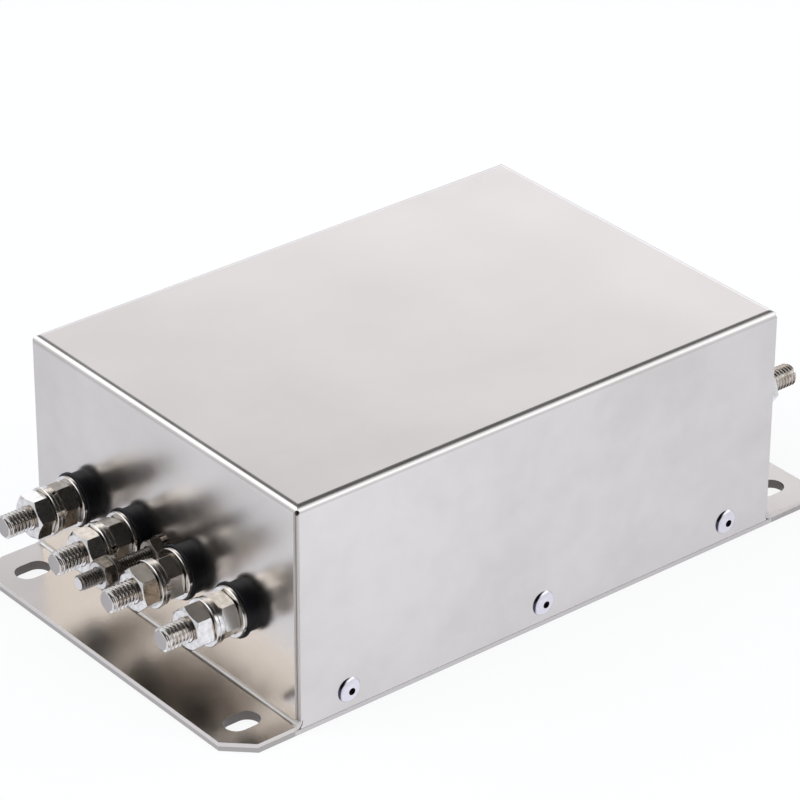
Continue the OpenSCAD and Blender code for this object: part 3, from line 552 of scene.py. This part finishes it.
def plated_hardware(name, dark, light, smoothest, roughest, sawn_end=None):
    finish, tree = new_finish(name)
    place = add_node(tree, "ShaderNodeTexCoord").outputs["Object"]
    stain = add_node(tree, "ShaderNodeTexNoise", Vector=place, Scale=1 / STAIN, Detail=2.0,
                     Roughness=0.6).outputs["Fac"]
    stain = add_node(tree, "ShaderNodeMapRange", Value=stain, From_Min=0.35, From_Max=0.65).outputs[0]
    tone = add_node(tree, "ShaderNodeMixRGB", Fac=stain, Color1=to_linear(dark),
                    Color2=to_linear(light)).outputs[0]
    haze = add_node(tree, "ShaderNodeMapRange", Value=stain, To_Min=roughest,
                    To_Max=smoothest).outputs[0]
    marks = add_node(tree, "ShaderNodeTexNoise", Vector=place, Scale=1 / TOOL_MARK,
                     Detail=2.0).outputs["Fac"]
    rounded = add_node(tree, "ShaderNodeBevel", {"samples": 4}, Radius=HARDWARE_ROUNDING).outputs[0]
    marked = add_node(tree, "ShaderNodeBump", Strength=0.05, Distance=TOOL_MARK_DEPTH, Height=marks,
                      Normal=rounded).outputs[0]
    if sawn_end:
        normal = add_node(tree, "ShaderNodeNewGeometry").outputs["True Normal"]
        normal = add_node(tree, "ShaderNodeVectorMath", {"operation": "ABSOLUTE"}, _0=normal).outputs[0]
        endward = add_node(tree, "ShaderNodeSeparateXYZ", Vector=normal).outputs["X"]
        sawn = region_mask(tree, (endward, "GREATER_THAN", FACES_END))
        tone = add_node(tree, "ShaderNodeMixRGB", Fac=sawn, Color1=tone,
                        Color2=to_linear(sawn_end)).outputs[0]
        haze = add_node(tree, "ShaderNodeMapRange", Value=sawn, To_Min=haze,
                        To_Max=SAWN_ROUGHNESS).outputs[0]
    skin = add_node(tree, "ShaderNodeBsdfPrincipled", Base_Color=tone, Metallic=1.0, Roughness=haze,
                    Normal=marked)
    add_node(tree, "ShaderNodeOutputMaterial", Surface=skin.outputs[0])
    return finish


hardware = plated_hardware("nickel_plated_hardware", "#CAC1B6", "#DCD5CC", 0.13, 0.17)
screw_steel = plated_hardware("nickel_plated_rolled_thread", "#BFB3A5", "#DDD5CB", 0.14, 0.19, "#A69D94")
# Painted shade: the earth hardware's dark tones stand for the shade behind the terminal stacks.
earth_steel_painted_shade = plated_hardware("dull_earth_hardware_painted_shade", "#6E665D", "#8F867B", 0.22, 0.32, "#D0C8BE")
stack = ("seat_washers", "clamp_nuts", "spring_washers", "flat_washers", "outer_nuts")
finish_nodes(hardware, [f"{end}_{piece}" for end in ENDS for piece in stack])
finish_nodes(hardware, ["board_standoffs", "board_screws"])
finish_nodes(earth_steel_painted_shade, ["earth_lock_washers", "earth_clamp_nuts", "earth_spring_washers",
                           "earth_flat_washers", "earth_outer_nuts"])

# %% [markdown]
# ## Real threads
#
# The solids carry plain shanks. A thread is one ridge wound round the shank,
# so the mesh follows it: points go round in steps and forward by a fraction of
# the pitch, and the last row of one turn is the first row of the next. A
# screw modifier could sweep a profile too, but here both ends can be turned
# down to a chamfer by limiting the radius, as the lathe does. The sizes of a
# screw are in millimetres, and it is wound along Z, with 0 at the wall. The
# ridge starts a turn early and ends late, and what runs past is cut level.

# %% Wind the ridge of a thread
STEPS_A_TURN = 40
CREST_CLEARANCE = 0.02
DEPTH_OF_PITCH = 0.6134
ROOT_FILLET = 0.03
TIP_SLOPE = 1.5
SPARE_TURNS = 2


def thread_ridge(size, pitch, under_head, tip):
    crest = size / 2 - CREST_CLEARANCE
    root = size / 2 - DEPTH_OF_PITCH * pitch
    filleted = root + ROOT_FILLET
    # Each pair is a share of the pitch and the radius there.
    profile = [(0.0, crest), (0.13, crest), (0.42, filleted), (0.55, root), (0.68, filleted)]
    rows = len(profile)
    steps = STEPS_A_TURN * (int((tip - under_head) / pitch) + SPARE_TURNS)
    points = []
    for i in range(steps + 1):
        angle = 2 * math.pi * i / STEPS_A_TURN
        for share, radius in profile:
            z = under_head - pitch + pitch * (i / STEPS_A_TURN + share)
            z = min(max(z, under_head), tip)
            radius = min(radius, root + TIP_SLOPE * (tip - z), root + (z - under_head))
            points.append((radius * math.cos(angle), radius * math.sin(angle), z))
    faces = []
    for i in range(steps):
        for j in range(rows):
            a = i * rows + j
            b = a + rows
            last = j == rows - 1
            c = (i + 1 + STEPS_A_TURN) * rows if last else b + 1
            d = (i + STEPS_A_TURN) * rows if last else a + 1
            if max(c, d) < len(points):
                faces.append((a, b, c, d))
    return points, faces


print("a turn of thread takes", STEPS_A_TURN, "steps")

# %% [markdown]
# ## The head and the whole screw
#
# The head is a hexagon whose two ends are chamfered, so it takes four rings of
# six points. Points that the cuts pushed together are merged, the open ends of
# the ridge are filled, and the shading stays sharp where the surface turns by
# more than 28 degrees, as the flank of a thread does against its crest.

# %% A function that cuts a threaded screw
HEAD_CHAMFER = 0.3
HEAD_END_SHARE = 0.90
MERGE = 0.004 * MM
SHORTEST_EDGE = 0.002 * MM
SHARP = math.radians(28)
CORNERS = 6


def hexagon_head(first, flats, head_height, under_head):
    corner = flats / math.sqrt(3)
    # Each pair is a height above the underside and a share of the corner's radius.
    rings = [(-head_height, HEAD_END_SHARE), (HEAD_CHAMFER - head_height, 1.0),
             (-HEAD_CHAMFER, 1.0), (0.0, HEAD_END_SHARE)]
    points = []
    for z, share in rings:
        radius = corner * share
        for k in range(CORNERS):
            angle = 2 * math.pi / CORNERS * k
            points.append((radius * math.cos(angle), radius * math.sin(angle), under_head + z))
    last = first + CORNERS * (len(rings) - 1)
    faces = []
    for start in range(first, last, CORNERS):
        for k in range(CORNERS):
            a = start + k
            b = start + (k + 1) % CORNERS
            faces.append((a, b, b + CORNERS, a + CORNERS))
    faces.append(tuple(first + k for k in reversed(range(CORNERS))))
    faces.append(tuple(last + k for k in range(CORNERS)))
    return points, faces


def threaded_screw(name, finish, thread, tip):
    under_head = thread["head_height"] - thread["inside"]
    ridge, ridge_faces = thread_ridge(thread["size"], thread["pitch"], under_head, tip)
    head, head_faces = hexagon_head(len(ridge), thread["flats"], thread["head_height"], under_head)
    mesh = bpy.data.meshes.new(name)
    mesh.from_pydata([tuple(v * MM for v in p) for p in ridge + head], [], ridge_faces + head_faces)
    work = bmesh.new()
    work.from_mesh(mesh)
    bmesh.ops.remove_doubles(work, verts=work.verts, dist=MERGE)
    bmesh.ops.dissolve_degenerate(work, edges=work.edges, dist=SHORTEST_EDGE)
    bmesh.ops.holes_fill(work, edges=[edge for edge in work.edges if edge.is_boundary], sides=0)
    bmesh.ops.recalc_face_normals(work, faces=work.faces)
    work.to_mesh(mesh)
    work.free()
    mesh.polygons.foreach_set("use_smooth", [True] * len(mesh.polygons))
    mesh.set_sharp_from_angle(angle=SHARP)
    mesh.materials.append(finish)
    return bpy.data.objects.new(name, mesh)


print("screw heads have", CORNERS, "sides")

# %% [markdown]
# ## Put the threaded screws in their places
#
# Each new screw takes the place of the plain one: its length and its place are
# read from the box of the node that it replaces, and the line end is the load
# end turned round. The sizes are in millimetres. "inside" is how much of the
# screw, head and all, lies within the end wall's outer face.

# %% Cut and place the ten screws
WALL = 75 * MM
M6 = {"size": 6.0, "pitch": 1.0, "flats": 10.0, "head_height": 4.0, "inside": 8.0}
M4 = {"size": 4.0, "pitch": 0.7, "flats": 7.0, "head_height": 2.8, "inside": 4.8}


def put_screw(node, finish, thread):
    low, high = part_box(node)
    side = 1 if high[0] > 0 else -1
    tip = (high[0] - low[0]) / MM - thread["inside"]
    screw = threaded_screw(node + "_threaded", finish, thread, tip)
    on_wall = (side * WALL, (low[1] + high[1]) / 2, (low[2] + high[2]) / 2)
    screw.matrix_world = Matrix.Translation(on_wall) @ Matrix.Rotation(side * math.pi / 2, 4, "Y")
    bpy.context.collection.objects.link(screw)
    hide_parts(node)
    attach(screw, "root")
    return len(screw.data.polygons)


made = 0
for end in ENDS:
    for i in (1, 2, 3, 4):
        made += put_screw(f"{end}_screw_{i}", screw_steel, M6)
    made += put_screw(f"{end}_earth_screw", earth_steel_painted_shade, M4)
print("screw faces:", made)

# %% [markdown]
# ## Blind rivets
#
# The long walls are held by aluminium blind rivets. The dome is formed cold
# and keeps a satin, slightly orange-peel skin. The side of each dome toward the
# line end carries a painted reflection: a smooth mask on the direction of its
# surface paints it dark there, standing for the dark room behind the camera
# that the dome mirrors. In the hole sits the steel mandrel, whose broken end is
# torn and dull.

# %% Finish the rivets
PEEL = 0.5 * MM
PEEL_DEPTH = 0.03 * MM
PAINTED_REFLECTION_SIDE = (-0.95, 0, 0.3)
TEAR = 0.3 * MM
TEAR_DEPTH = 0.15 * MM

alloy, tree = new_finish("formed_aluminium_rivet")
place = add_node(tree, "ShaderNodeTexCoord").outputs["Object"]
peel = add_node(tree, "ShaderNodeTexNoise", Vector=place, Scale=1 / PEEL, Detail=2.0).outputs["Fac"]
tone = add_node(tree, "ShaderNodeMixRGB", Fac=peel, Color1=to_linear("#D0C7C5"),
                Color2=to_linear("#DAD1CF")).outputs[0]
dents = add_node(tree, "ShaderNodeBump", Strength=0.1, Distance=PEEL_DEPTH, Height=peel).outputs[0]
# Painted reflection: a mask on the surface direction paints the dark side of each dome.
normal = add_node(tree, "ShaderNodeNewGeometry").outputs["Normal"]
toward_painted_reflection = add_node(tree, "ShaderNodeVectorMath", {"operation": "DOT_PRODUCT"}, _0=normal,
                    _1=PAINTED_REFLECTION_SIDE).outputs["Value"]
dark = add_node(tree, "ShaderNodeMapRange", SMOOTH, Value=toward_painted_reflection, From_Min=0.34,
                From_Max=0.64).outputs[0]
tone = add_node(tree, "ShaderNodeMixRGB", Fac=dark, Color1=tone, Color2=to_linear("#3E3B44")).outputs[0]
skin = add_node(tree, "ShaderNodeBsdfPrincipled", Base_Color=tone, Metallic=1.0, Roughness=0.24,
                Normal=dents)
add_node(tree, "ShaderNodeOutputMaterial", Surface=skin.outputs[0])
finish_nodes(alloy, ["side_rivets"])

steel, tree = new_finish("broken_steel_mandrel")
place = add_node(tree, "ShaderNodeTexCoord").outputs["Object"]
torn = add_node(tree, "ShaderNodeTexNoise", Vector=place, Scale=1 / TEAR, Detail=4.0).outputs["Fac"]
ragged = add_node(tree, "ShaderNodeBump", Strength=0.8, Distance=TEAR_DEPTH, Height=torn).outputs[0]
skin = add_node(tree, "ShaderNodeBsdfPrincipled", Base_Color=to_linear("#CFC8C0"), Metallic=0.3,
                Roughness=0.6, Normal=ragged)
add_node(tree, "ShaderNodeOutputMaterial", Surface=skin.outputs[0])
finish_nodes(steel, ["rivet_mandrels"])

# %% [markdown]
# ## What is inside
#
# Nobody sees the inner parts in the picture, but the model is used whole, so
# each keeps the finish of the real one: a green board, a black core case,
# enamelled copper, and moulded capacitors. Each is two close tones, mottled
# over a size in millimetres, with a slight relief and a typical roughness.

# %% Finish the inner parts
RELIEF = 0.02 * MM


def mottled_finish(name, dark, light, patch, roughness, metallic=0.0):
    finish, tree = new_finish(name)
    place = add_node(tree, "ShaderNodeTexCoord").outputs["Object"]
    mottle = add_node(tree, "ShaderNodeTexNoise", Vector=place, Scale=1 / patch,
                      Detail=3.0).outputs["Fac"]
    tone = add_node(tree, "ShaderNodeMixRGB", Fac=mottle, Color1=to_linear(dark),
                    Color2=to_linear(light)).outputs[0]
    relief = add_node(tree, "ShaderNodeBump", Strength=0.1, Distance=RELIEF, Height=mottle).outputs[0]
    skin = add_node(tree, "ShaderNodeBsdfPrincipled", Base_Color=tone, Roughness=roughness,
                    Metallic=metallic, Normal=relief)
    add_node(tree, "ShaderNodeOutputMaterial", Surface=skin.outputs[0])
    return finish


finish_nodes(mottled_finish("tinned_copper_lugs", "#B9B4AC", "#CFCBC4", 0.8 * MM, 0.28, 1.0),
             ["line_lugs", "load_lugs", "earth_lugs"])
finish_nodes(mottled_finish("red_lead_insulation", "#8E1616", "#A11C1C", 1.5 * MM, 0.45),
             ["line_leads", "load_leads"])
finish_nodes(mottled_finish("green_yellow_lead_insulation", "#5E8A1E", "#6F9C26", 1.5 * MM, 0.45),
             ["earth_leads"])
finish_nodes(mottled_finish("solder_masked_glass_epoxy", "#1C4A26", "#23592F", 1.2 * MM, 0.35),
             ["board"])
finish_nodes(mottled_finish("black_core_case", "#1B1E1E", "#242828", 1.0 * MM, 0.42), ["choke_core"])
finish_nodes(mottled_finish("enamelled_copper_wire", "#A4512A", "#B9603A", 0.9 * MM, 0.25, 1.0),
             [f"winding_{i}" for i in (1, 2, 3, 4)])
finish_nodes(mottled_finish("pressed_insulating_board", "#CBBF9C", "#D8CDAE", 0.7 * MM, 0.7),
             ["choke_divider"])
finish_nodes(mottled_finish("yellow_moulded_capacitor", "#C9A62C", "#D4B23C", 0.6 * MM, 0.33),
             ["line_x_capacitors", "load_x_capacitors"])
finish_nodes(mottled_finish("blue_coated_capacitor", "#2A4E8C", "#335A9B", 0.6 * MM, 0.3),
             ["y_capacitors"])
finish_nodes(mottled_finish("lacquered_resistor", "#B79A74", "#C4A982", 0.6 * MM, 0.4),
             ["bleeder_resistors"])
